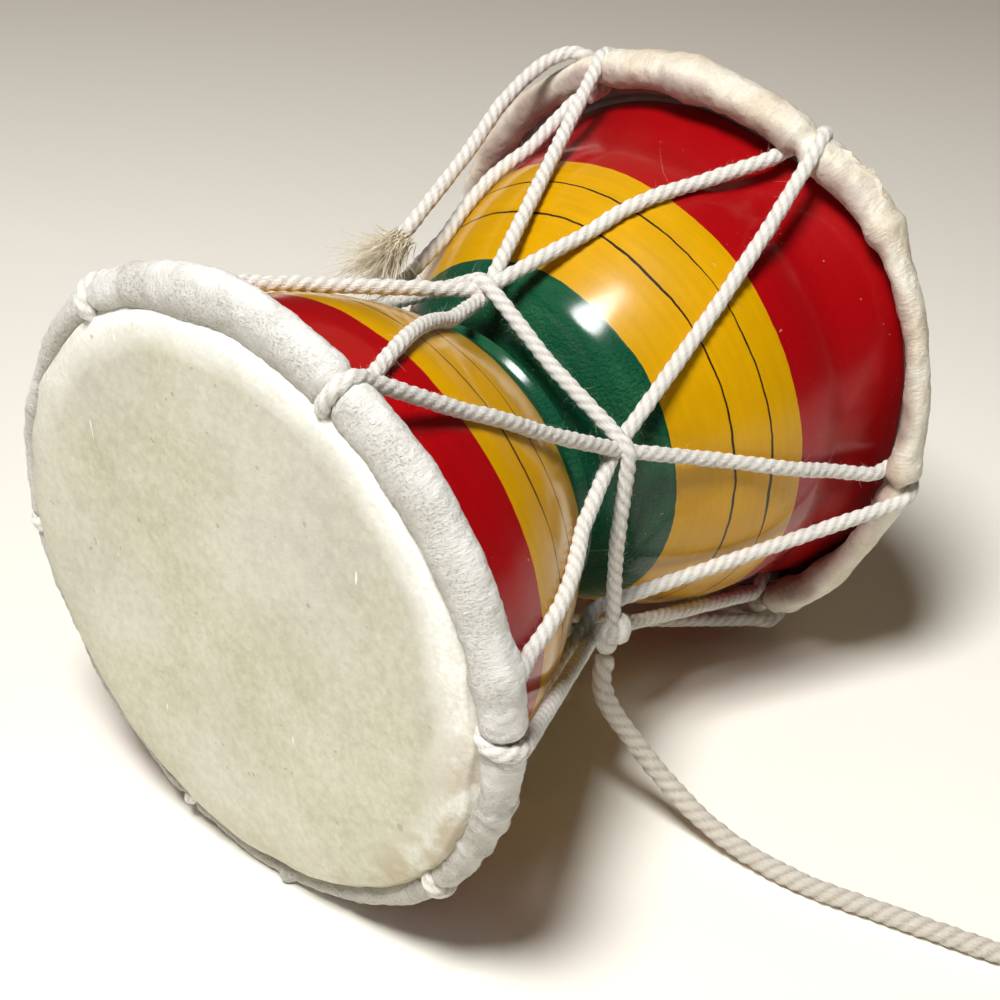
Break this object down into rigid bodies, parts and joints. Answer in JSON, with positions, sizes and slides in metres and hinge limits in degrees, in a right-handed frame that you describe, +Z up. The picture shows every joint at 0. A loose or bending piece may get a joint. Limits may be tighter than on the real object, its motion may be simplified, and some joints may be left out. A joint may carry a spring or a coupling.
{
  "type": "hourglass drum",
  "caption": "Hourglass hand drum on its side: lacquered wooden shell in colour bands, hide heads rolled over hoops, crossed cotton lacing drawn in at the waist, and a knotted pull cord.",
  "frame": {"origin": "on the surface that the drum lies on, under the middle of the drum", "axes": "+Y along the drum's axis, from the front head to the rear head; +Z up; the pull cord runs out towards +X"},
  "size_m": [0.2067, 0.119, 0.1093],
  "materials": {
    "lacquered_wood": "thick glossy lacquer: red with black lines on each cup, then yellow, and green at the waist",
    "cane": "bare split cane",
    "hide": "raw hide, grey-green and mottled where it is stretched, ivory and wrinkled on the rolls",
    "cotton": "cream twisted cotton with loose fibres"
  },
  "bodies": {
    "root": {"shell": "lacquered_wood", "front_hoop": "cane", "rear_hoop": "cane", "front_head": "hide", "rear_head": "hide", "lace_knotted": "cotton", "lace_tailed": "cotton", "lace_knot": "cotton", "lace_fray": "cotton", "girdle": "cotton", "girdle_knot": "cotton", "pull_cord": "cotton", "pull_knot": "cotton"}
  },
  "joints": []
}
